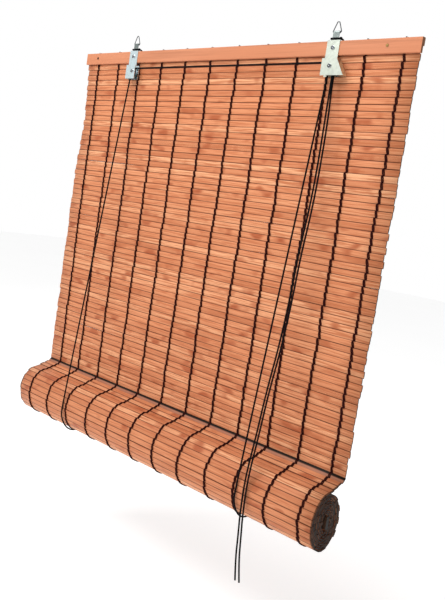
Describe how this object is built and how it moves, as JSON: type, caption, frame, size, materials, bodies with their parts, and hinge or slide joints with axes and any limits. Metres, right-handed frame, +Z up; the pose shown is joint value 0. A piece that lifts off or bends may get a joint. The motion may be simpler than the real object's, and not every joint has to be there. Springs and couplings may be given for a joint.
{
  "type": "bamboo roll up blind",
  "caption": "Woven bamboo slat blind hung from two bracket rings, its lower part rolled up in two cord slings that run over bracket pulleys to a pair of hanging pull cords.",
  "frame": {"origin": "midway between the two hooks, where they bear in the tops of the rings", "axes": "+X to the right seen from the front, +Y back towards the wall, +Z up; the front faces -Y"},
  "size_m": [0.6, 0.0619, 0.6754],
  "materials": {
    "rail_wood": "smooth stained bamboo batten, satin",
    "slat_bamboo": "flat split bamboo, orange-tan stain, satin",
    "roll_bamboo": "rolled split bamboo, dark brown at the cut ends",
    "thread": "twisted dark maroon cotton thread",
    "zinc_sheet": "zinc-plated folded sheet, satin",
    "ring_wire": "bent steel wire, dull",
    "rivet_steel": "bright domed steel",
    "pulley_plastic": "dark moulded plastic, matte",
    "roller_brass": "knurled brass",
    "screw_steel": "plated steel",
    "pin_brass": "dull brass",
    "cord": "braided black polyester cord"
  },
  "bodies": {
    "headrail_frame": {"headrail": "rail_wood", "hanging_slats": "slat_bamboo", "warp_threads": "thread", "warp_knots": "thread", "left_bracket": "zinc_sheet", "right_bracket": "zinc_sheet", "left_pulley_rivet": "rivet_steel", "right_pulley_rivet": "rivet_steel", "left_pulley_spacer": "pulley_plastic", "left_bracket_screw": "screw_steel", "right_bracket_screw": "screw_steel", "rail_pins": "pin_brass", "left_lift_cord": "cord", "right_lift_cord": "cord", "cross_cord": "cord", "front_pull_cord": "cord", "back_pull_cord": "cord", "left_anchor_knot": "cord", "right_anchor_knot": "cord"},
    "rolled_part": {"slat_roll": "roll_bamboo", "bottom_rail": "rail_wood"},
    "left_ring": {"left_ring": "ring_wire"},
    "right_ring": {"right_ring": "ring_wire"},
    "left_pulley": {"left_pulley": "pulley_plastic"},
    "right_front_pulley": {"right_front_pulley": "pulley_plastic"},
    "right_back_pulley": {"right_back_pulley": "pulley_plastic"},
    "lock_roller": {"lock_roller": "roller_brass"}
  },
  "joints": [
    {"name": "roll_lift", "type": "slide", "parent": "headrail_frame", "child": "rolled_part", "axis": [0, 0, 1], "range_m": [0, 0.44], "deforming": ["hanging_slats", "warp_threads", "left_lift_cord", "right_lift_cord", "front_pull_cord", "back_pull_cord"]},
    {"name": "left_ring_swing", "type": "hinge", "parent": "headrail_frame", "child": "left_ring", "pos_m": [-0.183, 0, -0.01164], "axis": [1, 0, 0], "range_deg": [-90, 90]},
    {"name": "right_ring_swing", "type": "hinge", "parent": "headrail_frame", "child": "right_ring", "pos_m": [0.183, 0, -0.01164], "axis": [1, 0, 0], "range_deg": [-90, 90]},
    {"name": "left_pulley_spin", "type": "hinge", "parent": "headrail_frame", "child": "left_pulley", "pos_m": [-0.173, -0.0088, -0.0535], "axis": [0, 1, 0], "continuous": true},
    {"name": "right_front_pulley_spin", "type": "hinge", "parent": "headrail_frame", "child": "right_front_pulley", "pos_m": [0.188, -0.0088, -0.0535], "axis": [0, 1, 0], "continuous": true},
    {"name": "right_back_pulley_spin", "type": "hinge", "parent": "headrail_frame", "child": "right_back_pulley", "pos_m": [0.188, -0.00555, -0.0535], "axis": [0, 1, 0], "continuous": true},
    {"name": "lock_roller_slide", "type": "slide", "parent": "headrail_frame", "child": "lock_roller", "axis": [0.5145, 0, -0.8575], "range_m": [0, 0.008]}
  ],
  "couplings": [
    {"joint": "left_pulley_spin", "follows": "roll_lift", "rad_per_m": 454.55},
    {"joint": "right_front_pulley_spin", "follows": "roll_lift", "rad_per_m": 454.55},
    {"joint": "right_back_pulley_spin", "follows": "roll_lift", "rad_per_m": 454.55}
  ]
}
